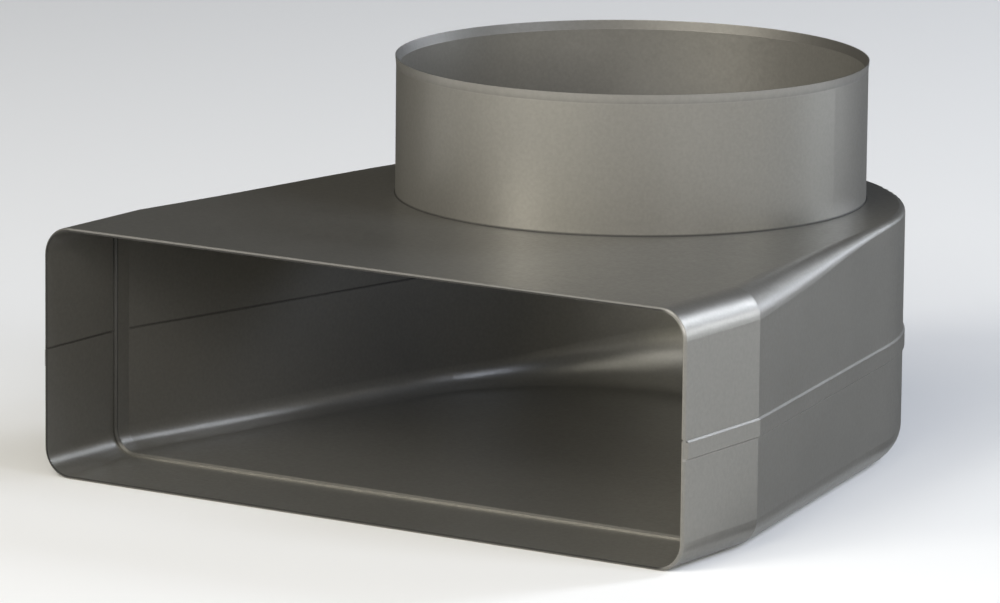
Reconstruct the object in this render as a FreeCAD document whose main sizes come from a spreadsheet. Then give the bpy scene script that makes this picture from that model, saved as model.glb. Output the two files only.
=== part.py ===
import FreeCAD, Part
import math
import os
import Sketcher

# Two-shell moulded elbow: a flat duct plugs into the wide socket in front, a round duct goes on the
# spigot on top. X runs across the flat opening, the opening faces -Y, the spigot's axis is Z,
# and the elbow stands on z = 0 with the spigot's axis through the origin.

SIZES = [
    ("socket_width", 234.4, "outside width of the flat socket"),
    ("body_height", 79.4, "outside height of the flat body"),
    ("corner_radius", 9.3, "long outer edges of the body, in section"),
    ("front_reach", 155.0, "spigot axis to the front rim"),
    ("straight_length", 42.0, "front rim to the bend where the sides start to taper"),
    ("rear_margin", 6.3, "top plate left behind the spigot"),
    ("rear_centre_ahead", 12.5, "centre of the rear arc, ahead of the spigot axis"),
    ("shoulder_setback", 46.0, "bend to the point that sets how fast the top rounding shrinks"),
    ("shoulder_radius", 6.9, "top rounding at that point"),
    ("rear_edge_radius", 2.0, "top edge of the body along the rear arc"),
    ("rear_floor_radius", 21.5, "inner floor rounding right behind the spigot, to lead the air up"),
    ("rear_floor_start", 24.8, "distance behind the spigot axis from which that rounding grows"),
    ("ceiling_bevel", 5.0, "inner ceiling edges of the air's way"),
    ("socket_wall", 1.0, "wall round the plugged-in duct"),
    ("socket_depth", 35.0, "front rim to the inner step"),
    ("stop_height", 1.2, "inner step that the duct's end meets"),
    ("stop_edge_bevel", 0.6, "bevelled crest of the step"),
    ("front_edge_bevel", 0.6, "outer edge of the front rim"),
    ("parting_height", 40.2, "plane where the two shells meet"),
    ("collar_height", 6.0, "thickened band under the parting plane"),
    ("collar_proud", 0.6, "how far the band stands out"),
    ("collar_edge_bevel", 0.5, "long edges of the band"),
    ("tongue_width", 0.8, "rib under the upper shell's edge"),
    ("tongue_height", 1.8, "how far the rib reaches down"),
    ("tongue_root", 1.0, "how far the rib is rooted in the wall above"),
    ("tongue_setback", 4.0, "inner step to the start of the rib"),
    ("tongue_clearance", 0.1, "play on each side of the rib and under it"),
    ("seam_height", 0.5, "open line along the inside of the parting plane"),
    ("seam_depth", 0.4, "how far that line cuts into the wall"),
    ("spigot_diameter", 150.0, "outside of the round spigot"),
    ("spigot_height", 44.4, "top plate to the spigot's rim"),
    ("spigot_wall", 1.0, "wall of the spigot"),
    ("flare_height", 2.9, "flared end of the spigot"),
    ("flare_out", 0.3, "how far the rim is wider than the spigot"),
    ("rim_land", 0.3, "flat ring left on the spigot's rim"),
    ("bore_lip_bevel", 1.0, "bevelled lip where the air turns into the spigot"),
    ("overrun", 5.0, "how far a cutting shape runs past the face it opens"),
]

DERIVED = [
    ("half_width", "socket_width / 2"),
    ("body_wall", "socket_wall + stop_height"),
    ("spigot_radius", "spigot_diameter / 2"),
    ("rear_radius", "spigot_radius + rear_margin + rear_centre_ahead"),
    ("bend_ahead", "front_reach - straight_length"),
    ("bend_gap", "bend_ahead - rear_centre_ahead"),
    ("bend_reach", "sqrt(half_width ^ 2 + bend_gap ^ 2)"),
    ("taper_angle", "atan(half_width / bend_gap) + acos(rear_radius / bend_reach) - 90 deg"),
    ("side_line_angle", "90 deg + taper_angle"),
    ("shoulder_ahead", "bend_ahead - shoulder_setback"),
    ("stop_ahead", "front_reach - socket_depth"),
    ("upper_height", "body_height - parting_height"),
    ("cut_reach", "front_reach + overrun"),
    ("trim_reach", "front_reach + 2 * overrun"),
    ("rear_reach", "rear_radius - rear_centre_ahead + overrun"),
    ("cut_half_width", "half_width + overrun"),
    ("way_height", "body_height - 2 * body_wall"),
    ("way_top", "body_height - body_wall"),
    ("way_corner", "corner_radius - body_wall"),
    ("socket_half_width", "half_width - socket_wall"),
    ("socket_height", "body_height - 2 * socket_wall"),
    ("socket_corner", "corner_radius - socket_wall"),
    ("collar_inset", "0 - collar_proud"),
    ("collar_base", "parting_height - collar_height"),
    ("collar_end_bevel", "front_edge_bevel + collar_proud"),
    ("groove_width", "tongue_width + 2 * tongue_clearance"),
    ("groove_outer", "(body_wall - groove_width) / 2"),
    ("groove_inner", "groove_outer + groove_width"),
    ("groove_base", "parting_height - tongue_height - tongue_clearance"),
    ("groove_cut", "tongue_height + tongue_clearance + overrun"),
    ("groove_ahead", "stop_ahead - tongue_setback + tongue_clearance"),
    ("tongue_outer", "groove_outer + tongue_clearance"),
    ("tongue_inner", "tongue_outer + tongue_width"),
    ("tongue_base", "parting_height - tongue_height"),
    ("tongue_pad", "tongue_height + tongue_root"),
    ("tongue_ahead", "stop_ahead - tongue_setback"),
    ("seam_base", "parting_height - overrun"),
    ("seam_cut", "seam_height + overrun"),
    ("socket_seam_inset", "socket_wall - seam_depth"),
    ("way_seam_inset", "body_wall - seam_depth"),
    ("spigot_foot", "body_height - body_wall / 2"),
    ("spigot_top", "body_height + spigot_height"),
    ("flare_base", "spigot_top - flare_height"),
    ("rim_radius", "spigot_radius + flare_out"),
    ("bore_radius", "spigot_radius - spigot_wall"),
    ("bore_rim_radius", "rim_radius - rim_land"),
    ("bore_foot", "way_top - way_corner"),
    ("lip_radius", "bore_radius + bore_lip_bevel"),
    ("lip_top", "way_top + bore_lip_bevel"),
    ("bore_top", "spigot_top + overrun"),
]

doc = FreeCAD.newDocument("duct_elbow")
sheet = doc.addObject("Spreadsheet::Sheet", "sizes")
for row, (alias, number, note) in enumerate(SIZES, start=1):
    sheet.set(f"A{row}", note)
    sheet.set(f"B{row}", str(number))
    sheet.setAlias(f"B{row}", alias)
for row, (alias, formula) in enumerate(DERIVED, start=len(SIZES) + 1):
    sheet.set(f"B{row}", "=" + formula)
    sheet.setAlias(f"B{row}", alias)
doc.recompute()

NEAR = 1e-4


def size(name):
    """A named size as a plain number; None and "0" stand for nothing."""
    if name in (None, "0"):
        return 0.0
    cell = sheet.get(name)
    return float(getattr(cell, "Value", cell))


def point(x, y):
    return FreeCAD.Vector(x, y, 0)


def new_body(name):
    return doc.addObject("PartDesign::Body", name)


def new_sketch(body, name, plane, level=None):
    """A sketch on one of the body's origin planes, lifted off it by a named size."""
    sketch = body.newObject("Sketcher::SketchObject", name)
    origin_plane = [f for f in body.Origin.OriginFeatures if f.Role == plane][0]
    sketch.AttachmentSupport = [(origin_plane, "")]
    sketch.MapMode = "FlatFace"
    if level:
        sketch.setExpression("AttachmentOffset.Base.z", f"sizes.{level}")
    return sketch


def bind(sketch, constraint, formula):
    """Adds a dimension and ties it to named sizes."""
    index = sketch.addConstraint(constraint)
    sketch.setExpression(f"Constraints[{index}]", formula)


def outline(body, name, level, inset=None, ahead=None, shoulder=None, behind=None):
    """The elbow's plan: square front, straight sides, tapered sides and the rear arc.

    inset moves the whole line inwards and ahead pushes only the front line out of the rim.
    shoulder puts one more point on each tapered side, at that distance ahead of the axis.
    behind puts points on the rear arc, in its middle and at that distance behind the axis."""
    sketch = new_sketch(body, name, "XY_Plane", level)
    half = size("half_width") - size(inset)
    radius = size("rear_radius") - size(inset)
    centre = -size("rear_centre_ahead")
    front = -size("front_reach") - size(ahead)
    turn = math.radians(size("taper_angle"))
    end = point(radius * math.cos(turn), centre + radius * math.sin(turn))
    bend = point(half, centre + (radius - half * math.cos(turn)) / math.sin(turn))
    right = [point(half, front), bend, end]
    if shoulder:
        share = (bend.y + size(shoulder)) / (bend.y - end.y)
        right.insert(2, bend + (end - bend) * share)
    left = [point(-p.x, p.y) for p in reversed(right)]
    circle = Part.Circle(point(0, centre), FreeCAD.Vector(0, 0, 1), radius)
    turns = [turn, math.pi - turn]
    if behind:
        start = math.asin((size(behind) - centre) / radius)
        turns = [turn, start, math.pi / 2, math.pi - start, math.pi - turn]
    lines = [Part.LineSegment(a, b) for a, b in zip([left[-1]] + right, right)]
    lines += [Part.ArcOfCircle(circle, a, b) for a, b in zip(turns, turns[1:])]
    lines += [Part.LineSegment(a, b) for a, b in zip(left, left[1:])]
    sketch.addGeometry(lines, False)
    arc = len(right)
    arc_end = arc + len(turns) - 2
    last = len(lines) - 1
    add = sketch.addConstraint
    joints = [(i, i + 1) for i in range(last) if i not in (arc - 1, arc_end)]
    for a, b in joints + [(last, 0)]:
        add(Sketcher.Constraint("Coincident", a, 2, b, 1))
    add(Sketcher.Constraint("Tangent", arc - 1, 2, arc, 1))
    add(Sketcher.Constraint("Tangent", arc_end, 2, arc_end + 1, 1))
    for piece in range(arc, arc_end):
        add(Sketcher.Constraint("Coincident", piece, 3, piece + 1, 3))
    add(Sketcher.Constraint("Vertical", 1))
    add(Sketcher.Constraint("Vertical", last))
    add(Sketcher.Constraint("Symmetric", 0, 1, 0, 2, -2))
    add(Sketcher.Constraint("Horizontal", 1, 2, last, 1))
    add(Sketcher.Constraint("PointOnObject", arc, 3, -2))
    less = f" - sizes.{inset}" if inset else ""
    more = f" + sizes.{ahead}" if ahead else ""
    bind(sketch, Sketcher.Constraint("DistanceX", 0, 1, 0, 2, 2 * half), f"2 * (sizes.half_width{less})")
    bind(sketch, Sketcher.Constraint("Radius", arc, radius), f"sizes.rear_radius{less}")
    bind(sketch, Sketcher.Constraint("DistanceY", arc, 3, -1, 1, -centre), "sizes.rear_centre_ahead")
    bind(sketch, Sketcher.Constraint("DistanceY", 0, 2, -1, 1, -front), f"sizes.front_reach{more}")
    bind(sketch, Sketcher.Constraint("Angle", 2, math.pi / 2 + turn), "sizes.side_line_angle")
    if shoulder:
        add(Sketcher.Constraint("Parallel", 2, 3))
        add(Sketcher.Constraint("Symmetric", 2, 2, last - 1, 1, -2))
        bind(sketch, Sketcher.Constraint("DistanceY", 2, 2, -1, 1, size(shoulder)), f"sizes.{shoulder}")
    if behind:
        add(Sketcher.Constraint("PointOnObject", arc + 1, 2, -2))
        add(Sketcher.Constraint("Horizontal", arc, 2, arc_end, 1))
        bind(sketch, Sketcher.Constraint("DistanceY", -1, 1, arc, 2, size(behind)), f"sizes.{behind}")
    return sketch


def profile(body, name, corners):
    """A closed line in the XZ plane through corners given as pairs of named sizes."""
    sketch = new_sketch(body, name, "XZ_Plane")
    spots = [point(size(a), size(b)) for a, b in corners]
    count = len(spots)
    for i in range(count):
        sketch.addGeometry(Part.LineSegment(spots[i], spots[(i + 1) % count]), False)
    for i in range(count):
        sketch.addConstraint(Sketcher.Constraint("Coincident", i, 2, (i + 1) % count, 1))
    for i, (a, b) in enumerate(corners):
        if a == "0":
            sketch.addConstraint(Sketcher.Constraint("PointOnObject", i, 1, -2))
        else:
            bind(sketch, Sketcher.Constraint("DistanceX", -1, 1, i, 1, size(a)), f"sizes.{a}")
        bind(sketch, Sketcher.Constraint("DistanceY", -1, 1, i, 1, size(b)), f"sizes.{b}")
    return sketch


def box(body, name, half, from_ahead, to_ahead, level):
    """A rectangle in plan, between two distances ahead of the axis; None stands for past the rear."""
    sketch = new_sketch(body, name, "XY_Plane", level)
    side = size(half)
    near = -size(from_ahead)
    far = -size(to_ahead) if to_ahead else size("rear_reach")
    path = [point(-side, near), point(side, near), point(side, far), point(-side, far)]
    add = sketch.addConstraint
    for i in range(4):
        sketch.addGeometry(Part.LineSegment(path[i], path[(i + 1) % 4]), False)
    for i in range(4):
        add(Sketcher.Constraint("Coincident", i, 2, (i + 1) % 4, 1))
    add(Sketcher.Constraint("Vertical", 1))
    add(Sketcher.Constraint("Symmetric", 0, 1, 0, 2, -2))
    add(Sketcher.Constraint("Symmetric", 2, 1, 2, 2, -2))
    bind(sketch, Sketcher.Constraint("DistanceX", 0, 1, 0, 2, 2 * side), f"2 * sizes.{half}")
    bind(sketch, Sketcher.Constraint("DistanceY", 0, 1, -1, 1, -near), f"sizes.{from_ahead}")
    if to_ahead:
        bind(sketch, Sketcher.Constraint("DistanceY", 2, 1, -1, 1, -far), f"sizes.{to_ahead}")
    else:
        bind(sketch, Sketcher.Constraint("DistanceY", -1, 1, 2, 1, far), "sizes.rear_reach")
    return sketch


def pad(body, sketch, length, keep_points=False):
    feature = body.newObject("PartDesign::Pad", sketch.Name + "_pad")
    feature.Profile = sketch
    feature.Refine = not keep_points
    feature.setExpression("Length", f"sizes.{length}")
    sketch.Visibility = False
    doc.recompute()
    return feature


def cut_up(body, sketch, length):
    """A pocket that runs upwards from its sketch and has to take something away."""
    before = body.Shape.Volume
    feature = body.newObject("PartDesign::Pocket", sketch.Name + "_cut")
    feature.Profile = sketch
    feature.Reversed = True
    feature.setExpression("Length", f"sizes.{length}")
    doc.recompute()
    if not body.Shape.Volume < before:
        raise RuntimeError(sketch.Name + " takes nothing away")
    return feature


def turned(name, corners):
    """A body turned about the spigot's axis."""
    body = new_body(name)
    sketch = profile(body, name + "_profile", corners)
    feature = body.newObject("PartDesign::Revolution", name + "_turn")
    feature.Profile = sketch
    feature.ReferenceAxis = (sketch, ["V_Axis"])
    feature.Angle = 360
    doc.recompute()
    return body


def plan_body(name, level, height, inset=None, ahead=None, behind=None):
    """The elbow's plan raised from one level."""
    body = new_body(name)
    plan = outline(body, name + "_plan", level, inset, ahead, behind=behind)
    pad(body, plan, height, keep_points=bool(behind))
    return body


def rib_body(name, level, height, outer, inner, start):
    """A rib inside the wall, from a start behind the step round the rear to the other side."""
    body = plan_body(name, level, height, outer, "overrun")
    cut_up(body, outline(body, name + "_inside", level, inner, "overrun"), height)
    cut_up(body, box(body, name + "_front", "cut_half_width", "trim_reach", start, level), height)
    return body


def line_body(name, inset, from_ahead, to_ahead):
    """The open line along the inside of the parting plane, between two distances ahead."""
    body = plan_body(name, "seam_base", "seam_cut", inset, "overrun")
    if from_ahead:
        trim = box(body, name + "_front", "cut_half_width", "trim_reach", from_ahead, "seam_base")
        cut_up(body, trim, "seam_cut")
    if to_ahead:
        trim = box(body, name + "_rear", "cut_half_width", to_ahead, None, "seam_base")
        cut_up(body, trim, "seam_cut")
    return body


def fuse(name, parts):
    joined = doc.addObject("Part::MultiFuse", name)
    joined.Shapes = parts
    joined.Refine = True
    doc.recompute()
    return joined


def cut(name, base, tool):
    result = doc.addObject("Part::Cut", name)
    result.Base = base
    result.Tool = tool
    result.Refine = True
    doc.recompute()
    return result


def edge_feature(kind, name, base, choose):
    """Works on the edges for which choose gives two values, one for each end or side."""
    feature = doc.addObject(kind, name)
    feature.Base = base
    picked = []
    for number, edge in enumerate(base.Shape.Edges, start=1):
        values = choose(edge, [v.Point for v in edge.Vertexes])
        if values:
            picked.append((number, values[0], values[1]))
    if not picked:
        raise RuntimeError(name + " finds no edge")
    feature.Edges = picked
    doc.recompute()
    return feature


def rounded(name, base, choose):
    return edge_feature("Part::Fillet", name, base, choose)


def bevelled(name, base, choose):
    return edge_feature("Part::Chamfer", name, base, choose)


def at_level(spots, level):
    return all(abs(p.z - level) < NEAR for p in spots)


def on_line(spots, ahead):
    return all(abs(p.y + ahead) < NEAR for p in spots)


def long_edges(levels, front, straight, rear, shoulder=None, crown=None):
    """Side and rear edges at given levels, each edge with the radii at its two ends."""
    def radius_at(spot):
        if crown and abs(spot.x) < NEAR:
            return size(crown)
        if shoulder and abs(spot.y + size("shoulder_ahead")) < NEAR:
            return size(shoulder)
        return size(straight) if spot.y < -size("shoulder_ahead") else size(rear)

    def choose(edge, spots):
        if not any(at_level(spots, level) for level in levels) or on_line(spots, front):
            return None
        return (radius_at(edge.valueAt(edge.FirstParameter)), radius_at(edge.valueAt(edge.LastParameter)))
    return choose


def rim_edges(edge, spots):
    """The outer edge of the front rim, all but its line on the parting plane."""
    if on_line(spots, size("front_reach")) and not at_level(spots, size("parting_height")):
        return size("front_edge_bevel"), size("front_edge_bevel")
    return None


def upright_front_edges(edge, spots):
    if on_line(spots, size("front_reach")) and abs(spots[0].z - spots[1].z) > NEAR:
        return size("collar_end_bevel"), size("collar_end_bevel")
    return None


def edges_along_duct(edge, spots):
    if abs(spots[0].y - spots[1].y) > NEAR:
        return size("socket_corner"), size("socket_corner")
    return None


def step_edges(edge, spots):
    """The crest of the inner step, all but the points on the parting plane."""
    within = size("half_width") - size("body_wall") + NEAR
    low = size("body_wall") - NEAR
    high = size("way_top") + NEAR
    if on_line(spots, size("stop_ahead")) and all(abs(p.x) < within and low < p.z < high for p in spots):
        return size("stop_edge_bevel"), size("stop_edge_bevel")
    return None


# Outside of the upper half. The rounding of its top edge shrinks from the bend to the rear arc.
upper_block = new_body("upper_block")
upper_plan = outline(upper_block, "upper_plan", "parting_height", shoulder="shoulder_ahead")
pad(upper_block, upper_plan, "upper_height", keep_points=True)
upper_long = rounded("upper_long_edges", upper_block, long_edges(
    [size("body_height")], size("front_reach"), "corner_radius", "rear_edge_radius", "shoulder_radius"))
upper_form = bevelled("upper_form", upper_long, rim_edges)
spigot_form = turned("spigot_form", [
    ("0", "spigot_foot"), ("spigot_radius", "spigot_foot"), ("spigot_radius", "flare_base"),
    ("rim_radius", "spigot_top"), ("0", "spigot_top")])

# Outside of the lower half, with the thickened band that carries the groove.
lower_block = plan_body("lower_block", None, "parting_height")
lower_long = rounded("lower_long_edges", lower_block, long_edges(
    [0], size("front_reach"), "corner_radius", "corner_radius"))
lower_form = bevelled("lower_form", lower_long, rim_edges)
collar_block = plan_body("collar_block", "collar_base", "collar_height", "collar_inset")
collar_front = bevelled("collar_front", collar_block, upright_front_edges)
collar_form = bevelled("collar_form", collar_front, long_edges(
    [size("collar_base"), size("parting_height")], size("front_reach"), "collar_edge_bevel",
    "collar_edge_bevel"))

# The air's way through: the duct's socket, the flat way behind the step and the spigot's bore.
way_block = plan_body("way_block", "body_wall", "way_height", "body_wall", "overrun", "rear_floor_start")
way_ceiling = bevelled("way_ceiling", way_block, long_edges(
    [size("way_top")], size("cut_reach"), "ceiling_bevel", "ceiling_bevel"))
way_form = rounded("way_form", way_ceiling, long_edges(
    [size("body_wall")], size("cut_reach"), "way_corner", "way_corner", crown="rear_floor_radius"))
socket_block = new_body("socket_block")
pad(socket_block, box(socket_block, "socket_plan", "socket_half_width", "cut_reach", "stop_ahead",
                      "socket_wall"), "socket_height")
socket_form = rounded("socket_corners", socket_block, edges_along_duct)
bore_form = turned("bore_form", [
    ("0", "bore_foot"), ("lip_radius", "bore_foot"), ("lip_radius", "way_top"),
    ("bore_radius", "lip_top"), ("bore_radius", "flare_base"), ("bore_rim_radius", "spigot_top"),
    ("bore_rim_radius", "bore_top"), ("0", "bore_top")])
air = fuse("air", [way_form, socket_form, bore_form])

# Rib, groove and the open line inside the parting plane.
tongue = rib_body("tongue", "tongue_base", "tongue_pad", "tongue_outer", "tongue_inner", "tongue_ahead")
groove = rib_body("groove", "groove_base", "groove_cut", "groove_outer", "groove_inner", "groove_ahead")
socket_line = line_body("socket_line", "socket_seam_inset", None, "stop_ahead")
way_line = line_body("way_line", "way_seam_inset", "bend_ahead", None)

upper_solid = fuse("upper_solid", [upper_form, spigot_form])
upper_hollow = cut("upper_hollow", upper_solid, air)
upper_stop = bevelled("upper_stop", upper_hollow, step_edges)
upper_socket_lined = cut("upper_socket_lined", upper_stop, socket_line)
upper_lined = cut("upper_lined", upper_socket_lined, way_line)
upper_shell = fuse("upper_shell", [upper_lined, tongue])
lower_solid = fuse("lower_solid", [lower_form, collar_form])
lower_hollow = cut("lower_hollow", lower_solid, air)
lower_stop = bevelled("lower_stop", lower_hollow, step_edges)
lower_shell = cut("lower_shell", lower_stop, groove)

for item in doc.Objects:
    if "Invalid" in item.State or "Error" in item.State:
        raise RuntimeError(item.Name + " can't be built")
os.makedirs("parts", exist_ok=True)
for node in (upper_shell, lower_shell):
    node.Label = node.Name
    shape = node.Shape
    if not shape.isValid() or len(shape.Solids) != 1:
        raise RuntimeError(node.Name + " is not one sound solid")
    shape.exportStep(f"parts/{node.Label}.step")
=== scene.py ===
import math

import bpy
from mathutils import Matrix, Vector

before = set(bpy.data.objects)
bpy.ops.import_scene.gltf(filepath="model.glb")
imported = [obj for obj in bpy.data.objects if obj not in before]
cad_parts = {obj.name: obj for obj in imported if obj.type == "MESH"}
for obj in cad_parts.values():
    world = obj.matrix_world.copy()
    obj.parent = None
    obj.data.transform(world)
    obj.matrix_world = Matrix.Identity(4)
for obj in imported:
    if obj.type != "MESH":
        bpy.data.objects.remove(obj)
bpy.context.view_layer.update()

# The elbow as it stands in the photograph: graphite plastic with a fine moulded grain, on a
# pale floor. Everything is in metres, in the frame of the solids: the spigot's axis is Z and
# the socket opens to -Y.
MM = 0.001

# Camera, solved from the edges seen in the photograph.
CAMERA_PLACE = Vector((1.25482, -2.00066, 0.50233))
CAMERA_YAW = math.radians(33.0956)
CAMERA_RISE = math.radians(10.984)
CAMERA_ROLL = math.radians(0.6065)
LENS_MM = 271.01
SENSOR_MM = 36.0

# Places on the part that the look marks, as in the solids.
SPIGOT_RADIUS = 0.075
BORE_RIM_RADIUS = 0.075
FLARE_BASE = 0.1209
PLATE_TOP = 0.0794
PARTING = 0.0402
COLLAR_FOOT = 0.0342
SOCKET_HALF_WIDTH = 0.1172
CORNER_RADIUS = 0.0093
RIM_MIDDLE = CORNER_RADIUS - 0.5 * MM
RIM_FRONT = -0.155
STOP_FRONT = -0.120
STOP_INSIDE = 0.115
BEND_FRONT = -0.113
PART_MIDDLE_Y = -0.040

# Where the painted shade on the inside of the rim fades out on the right, and the painted highlight on
# its top on the left.
SHADE_FADE = (0.112, 0.108)
HIGHLIGHT_FADE = (-0.111, -0.106)

# The plastic.
METALLIC = 0.588
ROUGHNESS = 0.35
GLOSS_LEVEL = 0.35
EDGE_TINT = (0.75, 0.75, 0.75, 1)
GREY_DARK = (0.179, 0.174, 0.158, 1)
GREY_LIGHT = (0.206, 0.200, 0.182, 1)
# The colour of the painted shade.
GREY_PAINTED_SHADE = (0.020, 0.020, 0.020, 1)
# The colour of the painted light and painted highlights.
GREY_PAINTED_LIGHT = (0.45, 0.44, 0.42, 1)

# How much each mark is darkened with painted shade or lightened with painted light.
CREASE_SHADE = 0.75
SEAM_SHADE = 0.35
RIM_SHADE = 0.90
STOP_SHADE = 0.75
FLARE_SHADE = 0.42
DULL_ROUGHNESS = 0.3
RIM_HIGHLIGHT = 0.45
COLLAR_HIGHLIGHT = 0.35
FOOT_LIGHT = 0.25
FLARE_LIGHT = 0.16

# Grain, clouds and uneven gloss. A scale is the number of waves in a metre.
NOISE_LOW = 0.3
NOISE_HIGH = 0.7
CLOUD_SCALE = 16.0
CLOUD_TONE = (0.35, 0.65)
SPECK_SCALE = 900.0
SPECK_TONE = 0.35
GLOSS_SCALE = 700.0
GLOSS_SPREAD = 0.03
PATCH_SCALE = 35.0
PATCH_SPREAD = 0.015
GRAIN_SCALE = 1800.0
GRAIN_STRENGTH = 0.22
GRAIN_DEPTH = 0.03 * MM

# The floor, and a dark cloth on it behind the part and along its right wall. The cloth is out
# of the picture. It is only mirrored in the walls, whose far and lower edges it keeps dark.
MATT = 0.9
FLOOR_COLOUR = (0.80, 0.80, 0.79, 1)
FLOOR_GLOSS = 0.0
FLOOR_OUTLINE = [(-12, -12), (12, -12), (12, 12), (-12, 12)]
CLOTH_COLOUR = (0.02, 0.02, 0.02, 1)
CLOTH_GLOSS = 0.5
CLOTH_HEIGHT = 0.5 * MM
CLOTH_OUTLINE = [
    (-3, -0.3), (-0.35, -0.1), (-0.2, 0.1), (0, 0.1), (0.075, 0.06), (0.0956, 0.0078),
    (0.1211, -0.112), (0.1211, -0.150), (0.127, -0.135), (0.150, -0.060), (1.635, 3.7), (-3, 4)]

# Soft lights round the part, all at one distance from the point they look at.
LIGHT_AIM = Vector((0, -0.04, 0.06))
LIGHT_DISTANCE = 2.6
# name, azimuth seen from above (0 in front, 90 on the right), elevation, width, height, watts,
# colour
LIGHTS = [
    ("back_right_low", 135, 6, 0.65, 0.55, 12.1, (0.86, 0.94, 1.00)),
    ("back_strip", 150, 28, 0.5, 1.3, 23.2, (0.80, 0.87, 1.00)),
    ("back_high", 150, 38, 0.45, 0.4, 4.5, (0.81, 0.86, 1.00)),
    ("back_low", 150, 6, 0.65, 0.55, 6.2, (0.92, 0.91, 1.00)),
    ("far_back", 157, 24, 0.45, 0.4, 5.4, (0.91, 0.94, 1.00)),
    ("far_back_low", 165, 6, 0.65, 0.55, 5.7, (0.80, 0.87, 1.00)),
    ("front_left", -22, 16, 0.72, 0.55, 31.2, (1.00, 0.96, 0.87)),
    ("front_left_high", -22, 50, 0.72, 0.5, 2.6, (0.96, 0.97, 1.00)),
    ("front", -6, 16, 0.72, 0.55, 5.2, (1.00, 0.95, 0.88)),
    ("front_high", -6, 40, 0.72, 0.55, 15.1, (1.00, 0.98, 0.92)),
    ("front_low", 0, 6, 0.72, 0.5, 2.3, (1.00, 0.97, 0.73)),
    ("front_right_low", 10, 16, 0.72, 0.55, 2.0, (0.99, 0.99, 1.00)),
    ("front_right", 10, 28, 0.72, 0.55, 13.5, (1.00, 0.96, 0.87)),
    ("overhead", 0, 62, 1.2, 1.2, 8.8, (1.00, 0.98, 0.90)),
    ("left", -45, 22, 1.1, 1.0, 8.1, (1.00, 0.92, 0.81)),
    ("over_the_camera", 32, 22, 1.1, 0.95, 14.1, (1.00, 0.97, 0.93)),
    ("right_front", 60, 15, 1.1, 0.95, 13.5, (1.00, 0.98, 0.95)),
    ("right", 92, 15, 1.1, 0.95, 14.2, (1.00, 0.97, 0.87)),
    ("right_high", 92, 38, 1.1, 0.95, 23.7, (0.72, 0.80, 1.00)),
]


class Graph:
    """Builds the sums of one material. A signal is a node's output, and a number stands for itself."""

    def __init__(self, tree):
        self.nodes = tree.nodes
        self.links = tree.links

    def feed(self, socket, value):
        """Sets a socket to a number or a colour, or links a signal to it."""
        if isinstance(value, (int, float, tuple)):
            socket.default_value = value
        else:
            self.links.new(value, socket)

    def math(self, operation, first, second=None, clamp=False):
        """One sum on one or two signals."""
        node = self.nodes.new("ShaderNodeMath")
        node.operation = operation
        node.use_clamp = clamp
        self.feed(node.inputs[0], first)
        if second is not None:
            self.feed(node.inputs[1], second)
        return node.outputs[0]

    def split(self, vector):
        """The three parts of a vector."""
        node = self.nodes.new("ShaderNodeSeparateXYZ")
        self.links.new(vector, node.inputs["Vector"])
        return node.outputs

    def length(self, first, second):
        """Length of a flat vector."""
        squares = [self.math("MULTIPLY", v, v) for v in (first, second)]
        return self.math("SQRT", self.math("ADD", *squares))

    def noise(self, place, scale, detail=2.0, roughness=0.5):
        """Noise in the object's own space, so that it is the same size on every piece."""
        node = self.nodes.new("ShaderNodeTexNoise")
        node.inputs["Scale"].default_value = scale
        node.inputs["Detail"].default_value = detail
        node.inputs["Roughness"].default_value = roughness
        self.links.new(place, node.inputs["Vector"])
        return node.outputs["Fac"]

    def spread(self, value, low, high):
        """Stretches a noise between two numbers."""
        node = self.nodes.new("ShaderNodeMapRange")
        node.inputs["From Min"].default_value = NOISE_LOW
        node.inputs["From Max"].default_value = NOISE_HIGH
        node.inputs["To Min"].default_value = low
        node.inputs["To Max"].default_value = high
        self.links.new(value, node.inputs["Value"])
        return node.outputs["Result"]

    def step(self, value, low, high):
        """A soft step: 0 below low, 1 above high. It falls where low is the larger number."""
        node = self.nodes.new("ShaderNodeMapRange")
        node.interpolation_type = "SMOOTHSTEP"
        node.inputs["From Min"].default_value = low
        node.inputs["From Max"].default_value = high
        self.links.new(value, node.inputs["Value"])
        return node.outputs["Result"]

    def mark(self, *rows):
        """1 where each row's soft step, of a signal, a low and a high number, is up, else 0."""
        value = self.step(*rows[0])
        for row in rows[1:]:
            value = self.math("MULTIPLY", value, self.step(*row))
        return value

    def strongest(self, marks):
        """The largest of some marks, each weakened by its own amount."""
        value = 0.0
        for mark, amount in marks:
            value = self.math("MAXIMUM", self.math("MULTIPLY", mark, amount), value)
        return value

    def mix(self, amount, first, second):
        """Blends two colours, each a signal or a fixed colour."""
        node = self.nodes.new("ShaderNodeMix")
        node.data_type = "RGBA"
        self.links.new(amount, node.inputs["Factor"])
        for name, value in (("A", first), ("B", second)):
            self.feed([i for i in node.inputs if i.name == name and i.type == "RGBA"][0], value)
        return [o for o in node.outputs if o.type == "RGBA"][0]


def root_crease_shade(g, away, z):
    """The sharp corner between the spigot and the top plate, darkened with painted shade."""
    return g.mark((away, SPIGOT_RADIUS - 0.4 * MM, SPIGOT_RADIUS - 0.2 * MM),
                  (away, SPIGOT_RADIUS + 0.6 * MM, SPIGOT_RADIUS + 0.1 * MM),
                  (z, PLATE_TOP - 0.4 * MM, PLATE_TOP - 0.2 * MM),
                  (z, PLATE_TOP + 0.8 * MM, PLATE_TOP + 0.2 * MM))


def bore_flare_shade(g, away, z):
    """The widened end of the spigot's bore, darkened with painted shade."""
    return g.mark((away, BORE_RIM_RADIUS + 0.2 * MM, BORE_RIM_RADIUS - 0.1 * MM),
                  (z, FLARE_BASE - 0.2 * MM, FLARE_BASE + 0.2 * MM))


def spigot_flare_light(g, away, z):
    """The outside of the spigot's widened end, lightened with painted light over its shade."""
    return g.mark((away, SPIGOT_RADIUS - 0.1 * MM, SPIGOT_RADIUS - 0.05 * MM),
                  (z, FLARE_BASE - 0.5 * MM, FLARE_BASE + 0.3 * MM))


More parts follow.
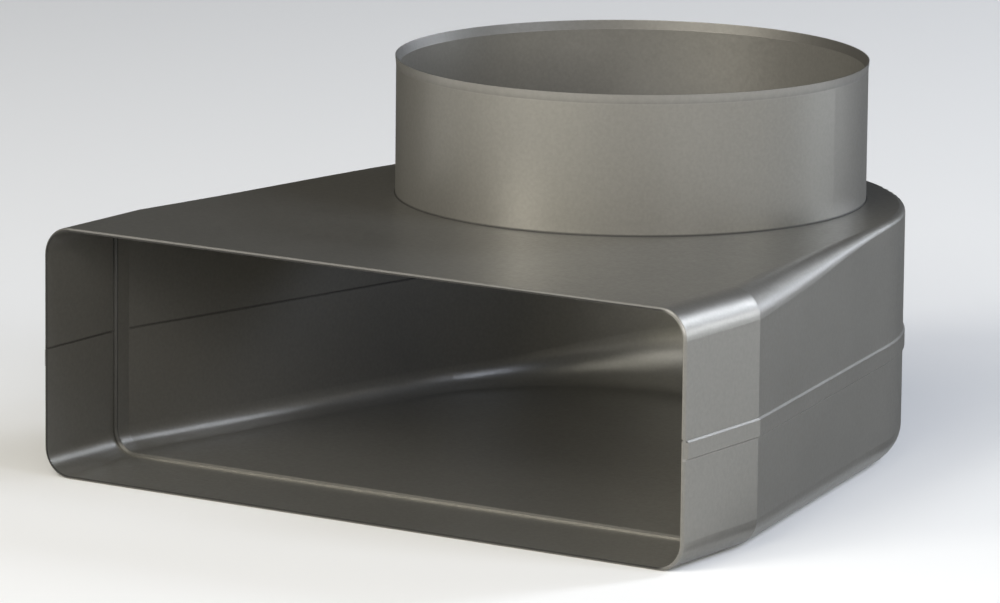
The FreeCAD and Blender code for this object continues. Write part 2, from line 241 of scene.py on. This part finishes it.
def rim_reach(g, x, z):
    """Distance from the core of the socket's rounded outline, the corner radius on its edge."""
    half_height = PLATE_TOP / 2
    across = g.math("ABSOLUTE", x)
    over = g.math("ABSOLUTE", g.math("SUBTRACT", z, half_height))
    corner = []
    for value, half in ((across, SOCKET_HALF_WIDTH), (over, half_height)):
        past = g.math("SUBTRACT", value, half - CORNER_RADIUS)
        corner.append(g.math("MAXIMUM", past, 0.0))
    return g.length(*corner)


def rim_inside_shade(g, reach, x, y):
    """The inner half of the front rim's face, darkened with painted shade."""
    return g.mark((reach, RIM_MIDDLE + 0.1 * MM, RIM_MIDDLE - 0.1 * MM),
                  (x, *SHADE_FADE),
                  (y, RIM_FRONT + 0.4 * MM, RIM_FRONT + 0.2 * MM))


def rim_top_highlight(g, reach, x, y, z):
    """The outer half of the front rim along its top, lightened with a painted highlight."""
    return g.mark((reach, RIM_MIDDLE - 0.1 * MM, RIM_MIDDLE + 0.1 * MM),
                  (x, *HIGHLIGHT_FADE),
                  (z, PLATE_TOP - 8.5 * MM, PLATE_TOP - 5.0 * MM),
                  (y, RIM_FRONT + 0.6 * MM, RIM_FRONT + 0.4 * MM))


def facing_out(g, x, y):
    """Above 0 on the outside of the walls, below 0 inside, 0 on faces square to the way in."""
    normal = g.split(g.nodes.new("ShaderNodeNewGeometry").outputs["True Normal"])
    behind = g.math("MAXIMUM", g.math("SUBTRACT", y, PART_MIDDLE_Y), 0.0)
    return g.math("ADD",
                  g.math("MULTIPLY", x, normal["X"]),
                  g.math("MULTIPLY", behind, normal["Y"]))


def inner_seam_shade(g, out, y, z):
    """The open line that the two shells leave along the inside of the parting plane, darkened with
    painted shade.
    """
    behind = g.step(y, BEND_FRONT - 0.2 * MM, BEND_FRONT + 0.2 * MM)
    ahead = g.step(y, STOP_FRONT + 0.2 * MM, STOP_FRONT - 0.2 * MM)
    line = g.mark((out, 0.0, -1.0 * MM),
                  (z, PARTING - 0.2 * MM, PARTING - 0.1 * MM),
                  (z, PARTING + 0.7 * MM, PARTING + 0.6 * MM))
    return g.math("MULTIPLY", line, g.math("MAXIMUM", behind, ahead))


def stop_sides_shade(g, out, x, y, z):
    """The upright parts of the inner step and its lower corners, darkened with painted shade."""
    across = g.math("ABSOLUTE", x)
    return g.mark((out, 1.0 * MM, 0.0),
                  (across, STOP_INSIDE - 8.0 * MM, STOP_INSIDE - 5.0 * MM),
                  (across, STOP_INSIDE + 1.6 * MM, STOP_INSIDE + 1.2 * MM),
                  (y, STOP_FRONT - 0.2 * MM, STOP_FRONT),
                  (y, STOP_FRONT + 1.2 * MM, STOP_FRONT + 0.8 * MM),
                  (z, 3.5 * MM, 5.5 * MM),
                  (z, PLATE_TOP - 3.5 * MM, PLATE_TOP - 5.5 * MM))


def collar_top_highlight(g, out, y, z):
    """The upper edge of the band along the tapered sides, lightened with a painted highlight."""
    return g.mark((out, 0.0, 1.0 * MM),
                  (y, BEND_FRONT, BEND_FRONT + 0.5 * MM),
                  (z, PARTING - 0.5 * MM, PARTING - 0.3 * MM),
                  (z, PARTING + 0.3 * MM, PARTING + 0.1 * MM))


def collar_foot_light(g, out, z):
    """The lower edge of the band outside, lightened a little with painted light over its shade."""
    return g.mark((out, 0.0, 1.0 * MM),
                  (z, COLLAR_FOOT - 0.3 * MM, COLLAR_FOOT - 0.1 * MM),
                  (z, COLLAR_FOOT + 0.7 * MM, COLLAR_FOOT + 0.4 * MM))


def material(name):
    """A bare principled material, its sums and its shader."""
    made = bpy.data.materials.new(name)
    made.use_nodes = True
    return made, Graph(made.node_tree), made.node_tree.nodes["Principled BSDF"]


def graphite_plastic():
    """Plastic with a satin, slightly metallic sheen, a fine grain, and painted shade and painted
    highlights on some of its marks.
    """
    made, g, shader = material("graphite_plastic")
    shader.inputs["Metallic"].default_value = METALLIC
    shader.inputs["Specular IOR Level"].default_value = GLOSS_LEVEL
    shader.inputs["Specular Tint"].default_value = EDGE_TINT

    place = g.nodes.new("ShaderNodeTexCoord").outputs["Object"]
    x, y, z = g.split(place)
    away = g.length(x, y)
    reach = rim_reach(g, x, z)
    out = facing_out(g, x, y)
    # Painted shade: the root crease, inner seam, rim inside, step sides and bore flare are darkened.
    dark = g.strongest(((root_crease_shade(g, away, z), CREASE_SHADE),
                        (inner_seam_shade(g, out, y, z), SEAM_SHADE),
                        (rim_inside_shade(g, reach, x, y), RIM_SHADE),
                        (stop_sides_shade(g, out, x, y, z), STOP_SHADE),
                        (bore_flare_shade(g, away, z), FLARE_SHADE)))
    # Painted light: the rim top, both collar edges and the spigot flare are lightened.
    painted_light = g.strongest(((rim_top_highlight(g, reach, x, y, z), RIM_HIGHLIGHT),
                        (collar_top_highlight(g, out, y, z), COLLAR_HIGHLIGHT),
                        (collar_foot_light(g, out, z), FOOT_LIGHT),
                        (spigot_flare_light(g, away, z), FLARE_LIGHT)))

    cloudy = g.spread(g.noise(place, CLOUD_SCALE, 3.0), *CLOUD_TONE)
    specks = g.spread(g.noise(place, SPECK_SCALE), -SPECK_TONE, SPECK_TONE)
    grey = g.mix(g.math("ADD", cloudy, specks, clamp=True), GREY_DARK, GREY_LIGHT)
    shaded = g.mix(dark, grey, GREY_PAINTED_SHADE)
    g.feed(shader.inputs["Base Color"], g.mix(painted_light, shaded, GREY_PAINTED_LIGHT))

    satin = g.spread(g.noise(place, GLOSS_SCALE), ROUGHNESS - GLOSS_SPREAD, ROUGHNESS + GLOSS_SPREAD)
    patches = g.spread(g.noise(place, PATCH_SCALE, 4.0, 0.6), -PATCH_SPREAD, PATCH_SPREAD)
    duller = g.math("MULTIPLY", dark, DULL_ROUGHNESS)
    rough = g.math("ADD", g.math("ADD", satin, patches), duller, clamp=True)
    g.feed(shader.inputs["Roughness"], rough)

    grain = g.nodes.new("ShaderNodeBump")
    grain.inputs["Strength"].default_value = GRAIN_STRENGTH
    grain.inputs["Distance"].default_value = GRAIN_DEPTH
    g.feed(grain.inputs["Height"], g.noise(place, GRAIN_SCALE, 3.0, 0.6))
    g.feed(shader.inputs["Normal"], grain.outputs["Normal"])
    return made


def ground_sheet(name, outline, height, colour, gloss):
    """A flat matt sheet of the stage."""
    made, _, shader = material(name)
    shader.inputs["Base Color"].default_value = colour
    shader.inputs["Roughness"].default_value = MATT
    shader.inputs["Specular IOR Level"].default_value = gloss
    mesh = bpy.data.meshes.new(name)
    mesh.from_pydata([(x, y, height) for x, y in outline], [], [tuple(range(len(outline)))])
    mesh.materials.append(made)
    sheet = bpy.data.objects.new(name, mesh)
    bpy.context.collection.objects.link(sheet)
    return sheet


def ground():
    """The pale floor and the dark cloth, which the camera doesn't see and which shades nothing."""
    ground_sheet("pale_floor", FLOOR_OUTLINE, 0.0, FLOOR_COLOUR, FLOOR_GLOSS)
    cloth = ground_sheet("dark_cloth", CLOTH_OUTLINE, CLOTH_HEIGHT, CLOTH_COLOUR, CLOTH_GLOSS)
    cloth.visible_camera = False
    cloth.visible_shadow = False
    cloth.visible_diffuse = False


def outward(azimuth, elevation):
    """Direction from the part towards an azimuth and an elevation, in radians."""
    flat = math.cos(elevation)
    return Vector((math.sin(azimuth) * flat, -math.cos(azimuth) * flat, math.sin(elevation)))


def soft_light(name, azimuth, elevation, width, height, watts, colour):
    """A rectangular soft light that looks at the middle of the part."""
    data = bpy.data.lights.new(name, "AREA")
    data.shape = "RECTANGLE"
    data.size = width
    data.size_y = height
    data.energy = watts
    data.color = colour
    light = bpy.data.objects.new(name, data)
    bpy.context.collection.objects.link(light)
    back = outward(math.radians(azimuth), math.radians(elevation))
    light.location = LIGHT_AIM + back * LIGHT_DISTANCE
    light.rotation_mode = "QUATERNION"
    light.rotation_quaternion = (-back).to_track_quat("-Z", "Y")
    light.visible_camera = False


def studio():
    """The soft lights in a black room, with the colours shown as they are."""
    world = bpy.data.worlds.new("studio")
    world.use_nodes = True
    world.node_tree.nodes["Background"].inputs["Color"].default_value = (0, 0, 0, 1)
    bpy.context.scene.world = world
    bpy.context.scene.view_settings.view_transform = "Standard"
    for row in LIGHTS:
        soft_light(*row)


def camera():
    """The photograph's viewpoint."""
    right = Vector((math.cos(CAMERA_YAW), math.sin(CAMERA_YAW), 0))
    back = outward(CAMERA_YAW, CAMERA_RISE)
    up = back.cross(right)
    cos_roll = math.cos(CAMERA_ROLL)
    sin_roll = math.sin(CAMERA_ROLL)
    rolled_right = right * cos_roll + up * sin_roll
    rolled_up = up * cos_roll - right * sin_roll
    data = bpy.data.cameras.new("camera")
    data.lens = LENS_MM
    data.sensor_fit = "HORIZONTAL"
    data.sensor_width = SENSOR_MM
    data.clip_start = 0.05
    data.clip_end = 100
    eye = bpy.data.objects.new("camera", data)
    bpy.context.collection.objects.link(eye)
    turn = Matrix((rolled_right, rolled_up, back)).transposed().to_4x4()
    eye.matrix_world = Matrix.Translation(CAMERA_PLACE) @ turn
    bpy.context.scene.camera = eye


plastic = graphite_plastic()
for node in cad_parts.values():
    for slot in node.material_slots:
        slot.material = plastic
ground()
studio()
camera()
